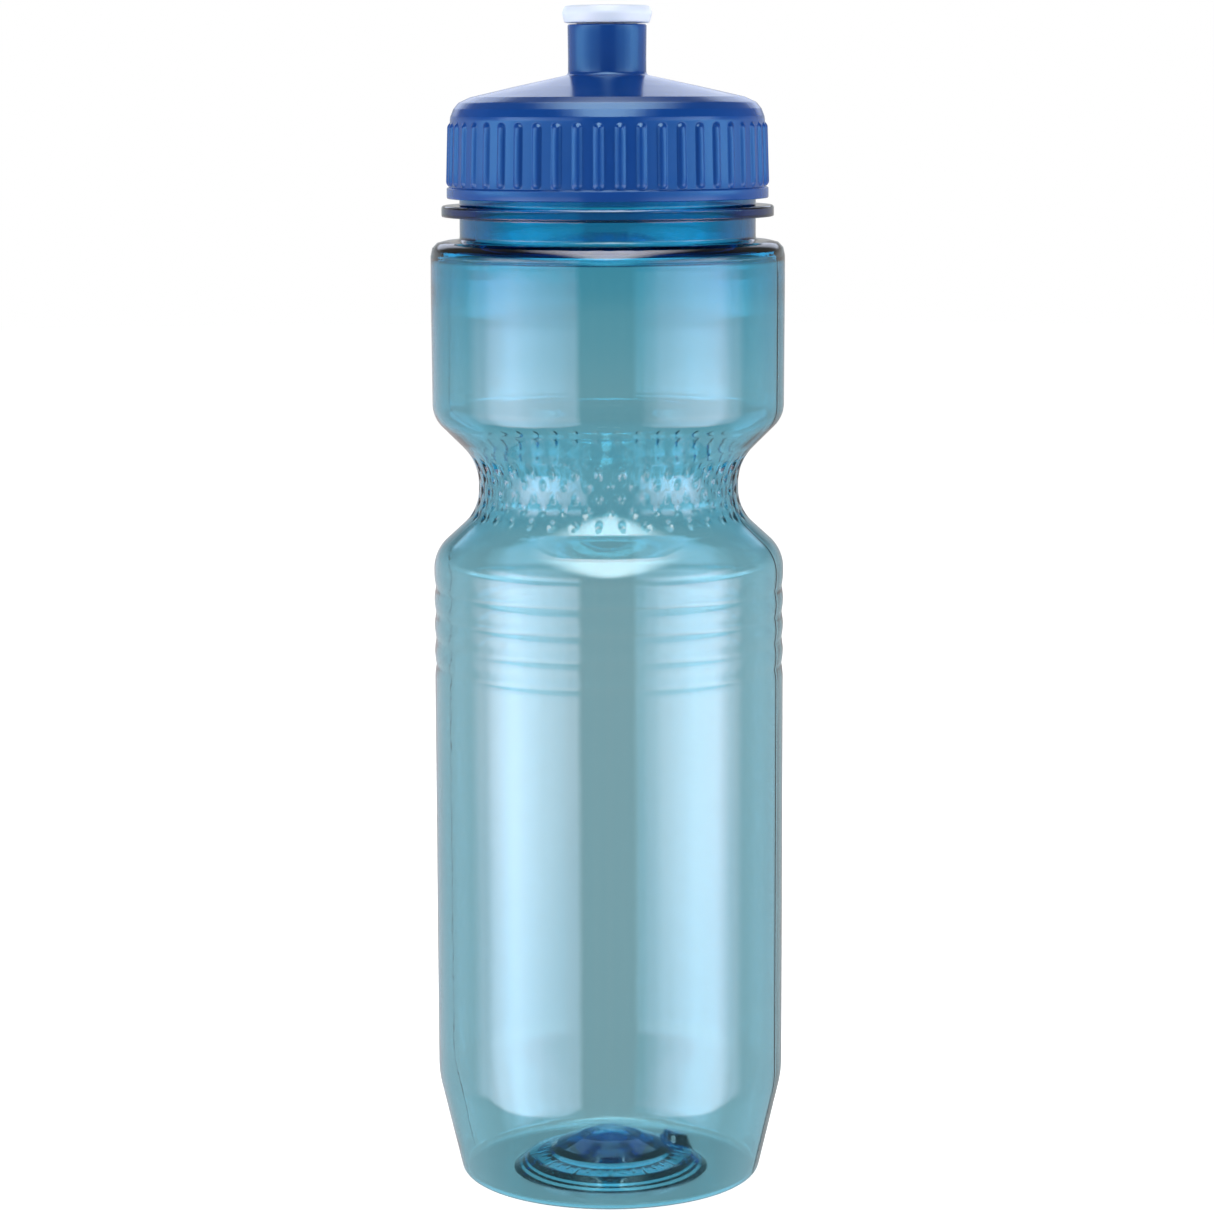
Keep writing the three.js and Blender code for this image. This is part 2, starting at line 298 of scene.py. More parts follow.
def turn_gap(angle, target, period=2 * math.pi):
    """The signed angle from the nearest target to angle, where targets repeat every period."""
    return (angle - target + period / 2) % period - period / 2


def thread_height(angle, z, start_deg, start_z):
    """How far a right-hand thread stands out at a place, from 0 to 1."""
    height = 0.0
    first = (angle - math.radians(start_deg)) % (2 * math.pi)
    for turn in (first / (2 * math.pi), first / (2 * math.pi) + 1):
        if turn < THREAD_TURNS:
            flank = abs(z - start_z - turn * THREAD_PITCH) / THREAD_HALF
            fade = ease(min(turn, THREAD_TURNS - turn), 0, 0.1)
            height = max(height, fade * (1 - ease(flank, 0.45, 1.0)))
    return height


# ---- Bottle ----
def blown_wave(angle, z):
    """The slight unevenness of a blown wall, longer along the bottle than around it."""
    broad = Vector((1.6 * math.sin(angle), 1.6 * math.cos(angle), z * 0.012))
    fine = Vector((4.5 * math.sin(angle), 4.5 * math.cos(angle), z * 0.03 + 7))
    wave = BROAD_WAVE * noise.noise(broad) + FINE_WAVE * noise.noise(fine)
    return wave * ease(z, 10, 30) * (1 - ease(z, 185, 195))


def seam(angle, r):
    """How far the two mould seams stand out at a place."""
    return sum(SEAM_HEIGHT * swell(turn_gap(angle, math.radians(deg)) * r / SEAM_HALF)
               for deg in SEAM_DEG)


def outer_wall(r, z, angle):
    return r + blown_wave(angle, z) + seam(angle, r), z


def groove(z):
    """Soft bands that meet in a valley at each grip groove."""
    away = min(abs(z - centre) for centre in GROOVE_Z) / (GROOVE_PITCH / 2)
    return GROOVE_DEPTH * (1 - min(1.0, away)) ** GROOVE_SHARPNESS


def dimple(r, z, angle):
    """How far the waist's dimples sink in at a place."""
    deepest = 0.0
    for centre_z, first, half, depth in DIMPLE_ROWS:
        across = turn_gap(angle, math.radians(first), 2 * math.pi / DIMPLE_COUNT) * r / DIMPLE_HALF_WIDTH
        deepest = max(deepest, depth * swell(math.hypot(across, (z - centre_z) / half)))
    return deepest


def grooved_wall(r, z, angle):
    return outer_wall(r - groove(z), z, angle)


def dimpled_wall(r, z, angle):
    return outer_wall(r - dimple(r, z, angle), z, angle)


def inner_wall(r, z, angle):
    return r + INNER_WAVE * blown_wave(angle, z) - INNER_GROOVE * groove(z), z


def inner_dimpled_wall(r, z, angle):
    return inner_wall(r - INNER_DIMPLE * dimple(r, z, angle), z, angle)


def threaded_wall(r, z, angle):
    return r + THREAD_HEIGHT * thread_height(angle, z, 0, THREAD_START_Z), z


def base_profile():
    """The underside: gate disc, shallow dome and crease, the ring with ticks, and the foot ring."""
    ticks = list(zip(TICK_R, TICK_Z))
    centre = rounded([
        (0, 3.0, 0), (3.7, 3.0, 0.15), (3.9, 3.4, 0.2), (8.5, 3.0, 1.5), (11.6, 2.2, 0.3),
        (12.2, 1.8, 0.3), (*ticks[0], 0)], 3)
    foot = rounded([
        (*ticks[1], 0), (16.9, 1.0, 0.2), (17.3, 0.55, 0.2), (18.1, 0.5, 0.2), (18.6, 0.0, 0.2),
        (28.0, 0.0, 0)], 3)
    return spaced(centre, 1.5)[:-1], spaced(ticks, 0.4), spaced(foot, 2.0)[1:]


def ticked_base(r, z, angle):
    """Raised marks round the underside: a long one, then two short ones."""
    period = 2 * math.pi / TICK_COUNT
    gap = turn_gap(angle, 0, period)
    index = round((angle - gap) / period)
    start, end = LONG_TICK if index % 3 == 0 else SHORT_TICK
    low, high = TICK_R
    along = ease(r, low, low + 0.4) * (1 - ease(r, high - start, high - end))
    return r, z - TICK_HEIGHT * along * (1 - ease(abs(gap) * r, 0.1, 0.35))


def shoulder_profile():
    """From the upper chamber over the shoulder and up the plain neck to the thread."""
    low, high = TRANSFER_Z
    return spaced(rounded([
        (BODY_R, SHOULDER_LOW_Z, 0), (BODY_R, SHOULDER_Z, SHOULDER_ROUND), (NECK_R, SHOULDER_Z + 0.3, 0.8),
        (NECK_R, low, 0.4), (TRANSFER_R, low, 0.3), (TRANSFER_R, high, 0.6), (NECK_R, high, 0.4),
        (NECK_R, 205.5, 0.3), (THREAD_ROOT_R, 206.0, 0.3), (THREAD_ROOT_R, 206.6, 0)], 3, 0.06), 2.4)


def inside_top_profile(chamber_r, chamber_z):
    """Down the neck's bore and under the shoulder to the upper chamber."""
    shoulder_under = SHOULDER_Z - 1.8
    return spaced(rounded([
        (NECK_BORE_R, LIP_Z - 0.6, 0), (NECK_BORE_R, shoulder_under, 2.2),
        (chamber_r, shoulder_under, 2.0), (chamber_r, chamber_z, 0)]), 2.5)


def inside_base_profile():
    """The floor inside: thin over the heel and foot, thick over the underside's dome."""
    heel = arc(FOOT_R, HEEL_R, INNER_HEEL_R, HEEL_TILT, -90, 6)
    return heel[:-1] + spaced(rounded([
        (FOOT_R, HEEL_R - INNER_HEEL_R, 0), (20.4, 0.62, 1.2), (17.3, 3.1, 1.5),
        (12.6, 4.5, 0.6), (11.3, 5.5, 0.5), (6.5, 7.3, 2.5), (0, 8.0, 0)]), 0.9)


def inside_base(r, z, angle):
    """The floor with its one raised lug."""
    across = turn_gap(angle, math.radians(LUG_DEG)) * r
    away = math.hypot(across, r - LUG_R) / LUG_HALF
    return r, z + LUG_HEIGHT * (1 - ease(away, 0.72, 1.0))


def bottle_angles():
    """Even steps, with close ones at the two mould seams, each cut in three for the dimples.

    Their count is even before the cut, because the inside uses every second one.
    """
    degrees = [i * 360 / EVEN_STEPS for i in range(EVEN_STEPS)]
    degrees = [d for d in degrees if all(abs(d - at) > SEAM_CLEAR_DEG for at in SEAM_DEG)]
    degrees = sorted(degrees + [at + offset for at in SEAM_DEG for offset in SEAM_STEPS_DEG])
    if len(degrees) % 2:
        degrees.pop(1)
    return split_angles([math.radians(d) for d in degrees], 3)


def make_bottle():
    """One closed surface: the underside, the outer wall to the lip, and the inside down to the floor."""
    low, high = DIMPLE_ZONE
    heel = arc(FOOT_R, HEEL_R, HEEL_R, -90, HEEL_TILT, 6)
    taper = [heel[-1]] + arc(CHAMBER_R - TAPER_BLEND_R, TAPER_TOP_Z, TAPER_BLEND_R, HEEL_TILT, 0, 8)
    chamber = [(CHAMBER_R, TAPER_TOP_Z), (CHAMBER_R, GROOVED_Z[0])]
    grooves = [(CHAMBER_R, z) for z in GROOVED_Z]
    waist = bend(LOWER_BEND, 9) + bend(UPPER_BEND, 9)[::-1]
    upper = list(zip((CHAMBER_R, BODY_R, BODY_R), UPPER_Z))
    waist_low = [p for p in waist if p[1] <= low]
    waist_high = [p for p in waist if p[1] >= high]
    waist_mid = [waist_low[-1]] + [p for p in waist if low < p[1] < high] + [waist_high[0]]
    lip = rounded([(THREAD_ROOT_R, 220.3, 0), (THREAD_ROOT_R, LIP_Z, 0.5), (NECK_BORE_R, LIP_Z, 0.5),
                   (NECK_BORE_R, 220.0, 0)])

    def inside(points, spacing):
        return inset(spaced(points, spacing), wall_thickness)[::-1]

    inside_upper = inside(upper, 2.5)
    base_centre, base_ticks, base_foot = base_profile()
    return turned("bottle_shell", bottle_angles(), [
        (base_centre, 3, None),
        (base_ticks, 1, ticked_base),
        (base_foot + heel[:-1], 3, None),
        (spaced(taper, 2.4)[:-1], 3, outer_wall),
        (spaced(chamber, 3.2)[:-1], 3, outer_wall),
        (spaced(grooves, 0.56), 3, grooved_wall),
        (waist_low[:-1], 3, outer_wall),
        (spaced(waist_mid, 0.5), 1, dimpled_wall),
        (waist_high[1:], 3, outer_wall),
        (spaced(upper, 2.4), 3, outer_wall),
        (shoulder_profile()[1:], 3, None),
        (spaced([(THREAD_ROOT_R, z) for z in THREADED_Z], 0.4), 3, threaded_wall),
        (lip, 3, None),
        (inside_top_profile(*inside_upper[0])[2:-1], 6, None),
        (inside_upper, 6, inner_wall),
        (inside(waist_high[1:], 1.4), 6, inner_wall),
        (inside(waist_mid, 0.8), 2, inner_dimpled_wall),
        (inside(waist_low[:-1], 1.4), 6, inner_wall),
        (inside(grooves, 0.8), 6, inner_wall),
        (inside(chamber, 4.0)[1:], 6, inner_wall),
        (inside(taper, 3.0)[1:-1], 6, inner_wall),
        (inside_base_profile(), 3, inside_base),
    ])


# ---- Cap ----
def rib_height(z, angle):
    """How far the skirt stands out for its ribs: rounded ridges with round ends."""
    pitch = 2 * math.pi / RIB_COUNT
    across = abs(turn_gap(angle, math.radians(RIB_FIRST_DEG), pitch)) * SKIRT_LOW_R
    past_end = max(0.0, z - (RIB_TOP_Z - RIB_HALF), RIB_LOW_Z + RIB_HALF - z)
    away = math.hypot(across, past_end) / RIB_HALF
    return RIB_CREST * max(0.0, 1 - away * away)


def ribbed_skirt(r, z, angle):
    return r + rib_height(z, angle), z


def cap_thread(r, z, angle):
    """The cap's own thread, which lies in the gap of the bottle's."""
    start_z = THREAD_START_Z - 0.71 * THREAD_PITCH
    return r - CAP_THREAD_HEIGHT * thread_height(angle, z, -90, start_z), z


def cap_angles():
    """The same close steps across every rib, and one halfway to the next."""
    pitch = 360 / RIB_COUNT
    steps = [mm / SKIRT_LOW_R * 180 / math.pi for mm in RIB_STEPS] + [pitch / 2]
    return [math.radians(RIB_FIRST_DEG + i * pitch + step) for i in range(RIB_COUNT) for step in steps]


def make_cap():
    """One closed surface: the rim, the ribbed skirt, the cone and chimney, and the inside."""
    rim = rounded([
        (SKIRT_BORE_R, SKIRT_LOW_Z + 0.8, 0), (SKIRT_BORE_R, SKIRT_LOW_Z, 0.2), (RIM_R, SKIRT_LOW_Z, 0.35),
        (RIM_R, RIM_TOP_Z, 0.25), (SKIRT_LOW_R, RIM_TOP_Z + 0.25, 0.3), (SKIRT_LOW_R, RIB_LOW_Z + 0.1, 0)])
    low_end, top_end = RIB_LOW_Z + RIB_HALF, RIB_TOP_Z - RIB_HALF
    skirt = (spaced([(SKIRT_LOW_R, RIB_LOW_Z + 0.15), (SKIRT_LOW_R, low_end)], 0.2)
             + spaced([(SKIRT_LOW_R, low_end), (SKIRT_HIGH_R, top_end)], 2.5)[1:]
             + spaced([(SKIRT_HIGH_R, top_end), SKIRT_TOP], 0.2)[1:])
    crown = rounded([
        SKIRT_TOP, (32.05, 221.6, 1.0), (31.45, 223.1, 0.35), (30.4, 224.4, 1.2), (28.0, 225.5, 0.9),
        (18.5, 227.7, 6.0), (CHIMNEY_R - 0.05, 229.95, 0.9), (CHIMNEY_R - 0.08, 233, 1.0),
        (CHIMNEY_R, CHIMNEY_TOP_Z, 0.3), (CHIMNEY_MOUTH_R, CHIMNEY_TOP_Z, 0.15),
        (CHIMNEY_MOUTH_R, 239, 0)], 5)
    inside = rounded([
        (CHIMNEY_MOUTH_R, 239, 0), (CHIMNEY_MOUTH_R, 238, 0.15), (CHIMNEY_BORE_R, 237.6, 0.2),
        (CHIMNEY_BORE_R, 225.4, 0.2), (8.4, 225.4, 0.2), (8.4, 228.1, 0.4), (26.7, 222.8, 0.6),
        (SKIRT_BORE_R, 222.8, 0.4), (SKIRT_BORE_R, 218.2, 0)], 3)
    thread = spaced([(SKIRT_BORE_R, 218.0), (SKIRT_BORE_R, 208.0)], 0.33)
    return turned("cap_shell", cap_angles(), [
        (rim, 1, None),
        (skirt, 1, ribbed_skirt),
        (spaced(crown, 1.5)[1:], 2, None),
        (spaced(inside, 1.5)[1:-1], 4, None),
        (thread, 2, cap_thread),
    ], closed=True)


def make_post():
    """The sealing post in the chimney, which the spokes hold."""
    foot_z = SPOKE_Z[0] + 0.01
    profile = rounded([
        (0, foot_z, 0), (POST_R, foot_z, 0.3), (POST_R, 236.0, 0.5), (POST_TIP_R, 237.0, 0.5),
        (POST_TIP_R, POST_TOP_Z, 0.4), (0, POST_TOP_Z, 0)])
    return turned("sealing_post", even_angles(48), [(spaced(profile, 2.0), 1, None)])


def make_spoke(index):
    """A bevelled bar from the post to the chimney's wall, sunk a little into both."""
    low, high = SPOKE_Z
    inner, outer, half = POST_R - SPOKE_SINK, CHIMNEY_BORE_R + SPOKE_SINK, SPOKE_WIDTH / 2
    corners = [(x, y, z) for x in (inner, outer) for y in (-half, half) for z in (low, high)]
    turn = Matrix.Rotation(math.radians(90 + index * 360 / SPOKE_COUNT), 3, "Z")
    points = [turn @ (Vector(c) * MM) for c in corners]
    faces = [(0, 1, 3, 2), (4, 6, 7, 5), (0, 4, 5, 1), (2, 3, 7, 6), (0, 2, 6, 4), (1, 5, 7, 3)]
    mesh = bpy.data.meshes.new(f"spoke_{index + 1}")
    mesh.from_pydata(points, [], faces)
    spoke = bpy.data.objects.new(mesh.name, mesh)
    bpy.context.scene.collection.objects.link(spoke)
    bevel = spoke.modifiers.new("edges", "BEVEL")
    bevel.width = SPOKE_BEVEL * MM
    bevel.segments = 3
    return spoke


# ---- Liner and nozzle ----
def make_liner():
    """A flat ring with rounded edges, just above the bottle's lip."""
    inner, outer = NECK_BORE_R + 0.3, liner_high.x / MM
    low, high = liner_low.z / MM, liner_high.z / MM
    middle = (low + high) / 2
    profile = rounded([
        (inner, middle, 0), (inner, low, LINER_ROUND), (outer, low, LINER_ROUND),
        (outer, high, LINER_ROUND), (inner, high, LINER_ROUND), (inner, middle + 0.1, 0)], 3)
    return turned("liner_ring", even_angles(180), [(spaced(profile, 0.5), 1, None)], closed=True)


def make_nozzle():
    """The valve: a snap bead at its foot, a tube, and a lip with the drinking hole."""
    lip_side_r = NOZZLE_LIP_R - 0.5
    profile = rounded([
        (NOZZLE_BORE_R, 232, 0), (NOZZLE_BORE_R, NOZZLE_FOOT_Z, 0.3), (NOZZLE_BEAD_R, NOZZLE_FOOT_Z, 0.9),
        (NOZZLE_BEAD_R, 230.6, 0.2), (NOZZLE_TUBE_R, 230.8, 0.2), (NOZZLE_TUBE_R, NOZZLE_LIP_LOW_Z, 0.2),
        (lip_side_r, NOZZLE_LIP_LOW_Z, 0.6), (NOZZLE_LIP_R, 242.4, 1.6), (lip_side_r, NOZZLE_TOP_Z, 1.2),
        (3.6, NOZZLE_TOP_Z, 0.5), (NOZZLE_HOLE_R, NOZZLE_TOP_Z - 0.7, 0.4), (NOZZLE_HOLE_R, 241.6, 0.3),
        (NOZZLE_BORE_R, 239.6, 0.4), (NOZZLE_BORE_R, 234, 0)], 7)
    return turned("nozzle_valve", even_angles(128), [(spaced(profile, 1.0), 1, None)], closed=True)


# ---- Materials ----
def material(name):
    """A new material, its node tree and its shader."""
    made = bpy.data.materials.new(name)
    made.use_nodes = True
    return made, made.node_tree, made.node_tree.nodes["Principled BSDF"]


def linked(tree, kind, inputs=None, **settings):
    """A node with its settings and its inputs, given as values or as sockets to link."""
    node = tree.nodes.new(kind)
    for key, value in settings.items():
        setattr(node, key, value)
    for key, value in (inputs or {}).items():
        if isinstance(value, bpy.types.NodeSocket):
            tree.links.new(value, node.inputs[key])
        else:
            node.inputs[key].default_value = value
    return node


def place(tree, stretch=(1, 1, 1)):
    """Object coordinates in metres, stretched."""
    where = linked(tree, "ShaderNodeTexCoord").outputs["Object"]
    return linked(tree, "ShaderNodeMapping", {"Vector": where, "Scale": stretch}).outputs["Vector"]


def noise_of(tree, vector, scale, detail=3.0):
    return linked(tree, "ShaderNodeTexNoise", {
        "Vector": vector, "Scale": scale, "Detail": detail, "Roughness": 0.5}).outputs["Fac"]


def ramp(tree, value, start, end, curve="LINEAR"):
    """A value that runs over the start range, moved to the end range."""
    return linked(tree, "ShaderNodeMapRange", {
        "Value": value, "From Min": start[0], "From Max": start[1],
        "To Min": end[0], "To Max": end[1]}, interpolation_type=curve).outputs["Result"]


def spread(tree, value, low, high):
    """A noise value from 0.3 to 0.7 spread between low and high."""
    return ramp(tree, value, (0.3, 0.7), (low, high))


def bump(tree, height, distance, strength):
    inputs = {"Height": height, "Distance": distance, "Strength": strength}
    return linked(tree, "ShaderNodeBump", inputs).outputs["Normal"]


def tint(tree, value, first, second):
    """A colour between two, by a value from 0 to 1."""
    mix = linked(tree, "ShaderNodeMix", {"Factor": value}, data_type="RGBA")
    mix.inputs[6].default_value = (*first, 1)
    mix.inputs[7].default_value = (*second, 1)
    return mix.outputs[2]


def bottle_material():
    """Clear blue plastic: the wall absorbs red, so it is darker where it is thick."""
    made, tree, shader = material("clear_blue_pet")
    shader.inputs["Base Color"].default_value = (1, 1, 1, 1)
    shader.inputs["Transmission Weight"].default_value = 1.0
    shader.inputs["IOR"].default_value = 1.57
    streaks = noise_of(tree, place(tree, (1, 1, 0.25)), 90)
    tree.links.new(spread(tree, streaks, 0.012, 0.05), shader.inputs["Roughness"])
    skin = noise_of(tree, place(tree, (1, 1, 0.5)), 320, 2)
    tree.links.new(bump(tree, skin, 0.00002, 0.5), shader.inputs["Normal"])
    volume = linked(tree, "ShaderNodeVolumeAbsorption", {"Color": (0.0125, 0.75, 0.892, 1), "Density": 800})
    tree.links.new(volume.outputs["Volume"], tree.nodes["Material Output"].inputs["Volume"])
    return made


def cap_material():
    """Satin blue plastic, faintly clouded."""
    made, tree, shader = material("blue_moulded_plastic")
    cloud = noise_of(tree, place(tree), 60, 4)
    colour = tint(tree, cloud, (0.0045, 0.042, 0.210), (0.0055, 0.048, 0.235))
    tree.links.new(colour, shader.inputs["Base Color"])
    tree.links.new(spread(tree, noise_of(tree, place(tree), 160), 0.15, 0.21), shader.inputs["Roughness"])
    shader.inputs["Specular Tint"].default_value = (0.55, 0.9, 1.0, 1)
    grain = noise_of(tree, place(tree), 900, 2)
    tree.links.new(bump(tree, grain, 0.000005, 0.25), shader.inputs["Normal"])
    return made


def nozzle_material():
    """Milky plastic that light sinks into."""
    made, tree, shader = material("natural_white_valve")
    cloud = noise_of(tree, place(tree), 140, 3)
    colour = tint(tree, cloud, (0.60, 0.675, 0.81), (0.68, 0.745, 0.87))
    tree.links.new(colour, shader.inputs["Base Color"])
    tree.links.new(spread(tree, noise_of(tree, place(tree), 700), 0.3, 0.42), shader.inputs["Roughness"])
    shader.inputs["Subsurface Weight"].default_value = 0.6
    shader.inputs["Subsurface Radius"].default_value = (0.8, 0.9, 1.0)
    shader.inputs["Subsurface Scale"].default_value = 0.002
    tree.links.new(bump(tree, noise_of(tree, place(tree), 1500), 0.00001, 0.4), shader.inputs["Normal"])
    return made


def liner_material():
    """Foam with fine cells."""
    made, tree, shader = material("sealing_foam")
    cells = linked(tree, "ShaderNodeTexVoronoi", {"Vector": place(tree), "Scale": 2600}).outputs["Distance"]
    colour = tint(tree, noise_of(tree, place(tree), 300), (0.62, 0.64, 0.66), (0.74, 0.75, 0.76))
    tree.links.new(colour, shader.inputs["Base Color"])
    tree.links.new(spread(tree, noise_of(tree, place(tree), 500), 0.55, 0.75), shader.inputs["Roughness"])
    tree.links.new(bump(tree, cells, 0.00005, 0.6), shader.inputs["Normal"])
    return made


# ---- Pieces on their bodies ----
def fit(piece, body, slot, look, *nodes):
    """Gives a piece its look and body, and hides the CAD nodes that it stands for. The slot is not used."""
    piece.data.materials.append(look)
    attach(piece, body)
    if nodes:
        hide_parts(*nodes)


fit(make_bottle(), "bottle", "bottle_pet", bottle_material(), "bottle")
blue = cap_material()
fit(make_cap(), "cap", "cap_plastic", blue, "screw_cap")
fit(make_post(), "cap", "cap_plastic", blue)
for number in range(SPOKE_COUNT):
    fit(make_spoke(number), "cap", "cap_plastic", blue)
fit(make_liner(), "liner", "liner_foam", liner_material(), "cap_liner")
fit(make_nozzle(), "nozzle", "nozzle_plastic", nozzle_material(), "push_pull_nozzle")


# ---- Stage, lights and camera, in metres ----
SIDE_DISTANCE = 0.8
REAR_DISTANCE = 0.42
REAR_AZIMUTHS = (140, 220)
REAR_HEIGHTS = (0.26, 0.55)
REAR_COLOUR = Vector((1.0, 1.1, 1.35))
WHITE = Vector((1, 1, 1))
# The side lights' colour at heights above the floor.
SIDE_COLOURS = [(z, Vector(colour)) for z, colour in (
    (-0.56, (0, 0, 0)), (-0.46, (0.70, 0.64, 0.75)), (-0.2, (0.75, 0.67, 0.78)), (-0.06, (0.92, 0.76, 0.84)),
    (0.03, (0.92, 0.76, 0.84)), (0.119, (0.76, 0.66, 0.76)), (0.137, (0.60, 0.44, 0.53)),
    (0.155, (0.52, 0.42, 0.52)), (0.163, (0, 0.22, 0.30)), (0.184, (0, 0.22, 0.30)),
    (0.193, (0.38, 0.8, 1.05)), (0.27, (0.5, 0.85, 1.05)), (0.38, (0.75, 0.68, 0.78)), (0.56, (0, 0, 0)))]
SIDE_HEIGHTS = (SIDE_COLOURS[0][0], SIDE_COLOURS[-1][0])
# The side lights' brightness by azimuth, and both lights' at the cap's height.
LEFT_STOPS = ((17, 0), (21, 2.4), (30, 2.6), (40, 3.1), (52, 4.0), (62, 5.2), (75, 4.6), (90, 1.9),
              (103, 0.25), (130, 0.08), (152, 0.25), (165, 0.25), (172, 0))
RIGHT_STOPS = ((20, 0), (26, 0.9), (36, 2.5), (48, 3.3), (60, 4.1), (74, 4.6), (87, 1.9),
               (99, 0.1), (172, 0))
CAP_STOPS = ((17, 0.3), (45, 1.0), (66, 2.0), (80, 3.7), (96, 3.0), (110, 0.5), (130, 0.1), (172, 0.1))
CAP_BAND = ((0.186, 0.198), (0.26, 0.32))
# Where the side lights fade out, high up beside the bottle.
BESIDE_AZIMUTHS, BESIDE_HEIGHTS = (75, 100), (0.27, 0.34)
# How far the side lights' lower corners rise, away from their middle azimuth.
CORNER_LIFT, MIDDLE_AZIMUTH, CORNER_REACH, CORNER_DEPTH = 0.22, 55, 35, 0.2
LAMP_AIM = Vector((0, 0, 0.12))
FLOOR_HALF = 3.0
BACKDROP_R = 2.9
SKY_GREYS = (0.14, 0.49)
SKY_ABOVE = 0.35
SKY_BELOW = (0.06, 0.24, 0.32)
EYE = Vector((-0.0004, -0.730, 0.2245))
TILT_DEG = 8.12
ROLL_DEG = -0.19
LENS_MM = 105.0
SENSOR_MM = 36


def math_of(tree, operation, first, second):
    return linked(tree, "ShaderNodeMath", {0: first, 1: second}, operation=operation).outputs["Value"]


def through_bottle(tree):
    """1 for light that came straight through both walls of the bottle, and 0 for any other."""
    path = linked(tree, "ShaderNodeLightPath").outputs
    crossed = math_of(tree, "GREATER_THAN", path["Transmission Depth"], 3.5)
    straight = math_of(tree, "LESS_THAN", path["Glossy Depth"], 0.5)
    return math_of(tree, "MULTIPLY", crossed, straight)


def emitter(name, clear=False):
    """A glowing material, its node tree and its emission. Light also goes through a clear one."""
    made = bpy.data.materials.new(name)
    made.use_nodes = True
    tree = made.node_tree
    tree.nodes.clear()
    glow = linked(tree, "ShaderNodeEmission", {"Color": (1, 1, 1, 1), "Strength": 1.0})
    surface = glow.outputs["Emission"]
    if clear:
        through = linked(tree, "ShaderNodeBsdfTransparent").outputs["BSDF"]
        surface = linked(tree, "ShaderNodeAddShader", {0: surface, 1: through}).outputs["Shader"]
    linked(tree, "ShaderNodeOutputMaterial", {"Surface": surface})
    return made, tree, glow


def lit(panel, glow):
    """Makes a stage mesh a light with a colour for each point.

    It shows in reflections, and not to the camera or straight through the bottle.
    """
    glow_at = panel.data.attributes.new("glow", "FLOAT_COLOR", "POINT")
    for point, colour in zip(glow_at.data, glow):
        point.color = (*colour, 1)
    made, tree, emission = emitter(panel.name, clear=True)
    colour = linked(tree, "ShaderNodeAttribute", attribute_name="glow").outputs["Color"]
    tree.links.new(colour, emission.inputs["Color"])
    tree.links.new(math_of(tree, "SUBTRACT", 1.0, through_bottle(tree)), emission.inputs["Strength"])
    panel.data.materials.append(made)
    panel.visible_camera = False
    panel.visible_diffuse = False


def on_circle(azimuth, distance, z):
    a = math.radians(azimuth)
    return (distance * math.sin(a), -distance * math.cos(a), z)


def at_stops(stops, where):
    """The value at a place between stops of (place, value)."""
    for (a, low), (b, high) in zip(stops, stops[1:]):
        if where <= b:
            return low + (high - low) * ease(where, a, b)
    return stops[-1][1]


def light_wall(name, side, azimuths, heights, distance, glow):
    """A curved light panel between two azimuths and two heights. Side 1 is +X, and -1 is -X."""
    across, up = 80, 160
    turns = [azimuths[0] + (azimuths[1] - azimuths[0]) * i / across for i in range(across + 1)]
    levels = [heights[0] + (heights[1] - heights[0]) * k / up for k in range(up + 1)]
    row = up + 1
    faces = [(i * row + k, i * row + k + 1, (i + 1) * row + k + 1, (i + 1) * row + k)
             for i in range(across) for k in range(up)]
    mesh = bpy.data.meshes.new(name)
    mesh.from_pydata([on_circle(side * turn, distance, z) for turn in turns for z in levels], [], faces)
    panel = bpy.data.objects.new(name, mesh)
    bpy.context.scene.collection.objects.link(panel)
    lit(panel, [glow(turn, z) for turn in turns for z in levels])


def side_glow(stops):
    """A side light's colour: stops by azimuth, soft lower corners, and none high beside the bottle."""
    def glow(azimuth, z):
        corner = min(1.0, abs(azimuth - MIDDLE_AZIMUTH) / CORNER_REACH) ** 3 * ease(-z, 0.0, CORNER_DEPTH)
        beside = ease(azimuth, *BESIDE_AZIMUTHS) * ease(z, *BESIDE_HEIGHTS)
        at_cap = ease(z, *CAP_BAND[0]) * (1 - ease(z, *CAP_BAND[1]))
        brightness = at_stops(stops, azimuth) * (1 - at_cap) + at_stops(CAP_STOPS, azimuth) * at_cap
        return at_stops(SIDE_COLOURS, z - CORNER_LIFT * corner) * (brightness * (1 - beside))
    return glow


def rear_glow(azimuth, z):
    """The rear light's colour, soft at every edge."""
    (start, end), (low, high) = REAR_AZIMUTHS, REAR_HEIGHTS
    fade = ease(azimuth, start, start + 15) * (1 - ease(azimuth, end - 15, end))
    return REAR_COLOUR * (fade * ease(z, low, low + 0.03) * (1 - ease(z, high - 0.1, high)))


def overhead(name, spot, half_width, half_depth, strength):
    """A soft oval panel above the bottle, dimmer towards its edge."""
    radii = [i / 16 for i in range(17)]
    panel = turned(name, even_angles(96), [([(r / MM, 0) for r in radii], 1, None)])
    panel.scale = (half_width, half_depth, 1)
    panel.location = spot
    lit(panel, [WHITE * (strength * (1 - ease(v.co.length, 0.3, 1.0))) for v in panel.data.vertices])


def lamp(name, spot, size, power):
    """A soft lamp that lights the plastic but doesn't show in its gloss."""
    light = bpy.data.objects.new(name, bpy.data.lights.new(name, "AREA"))
    light.data.size = size
    light.data.energy = power
    light.location = spot
    light.rotation_euler = (LAMP_AIM - light.location).to_track_quat("-Z", "Y").to_euler()
    light.visible_glossy = False
    light.visible_transmission = False
    bpy.context.scene.collection.objects.link(light)


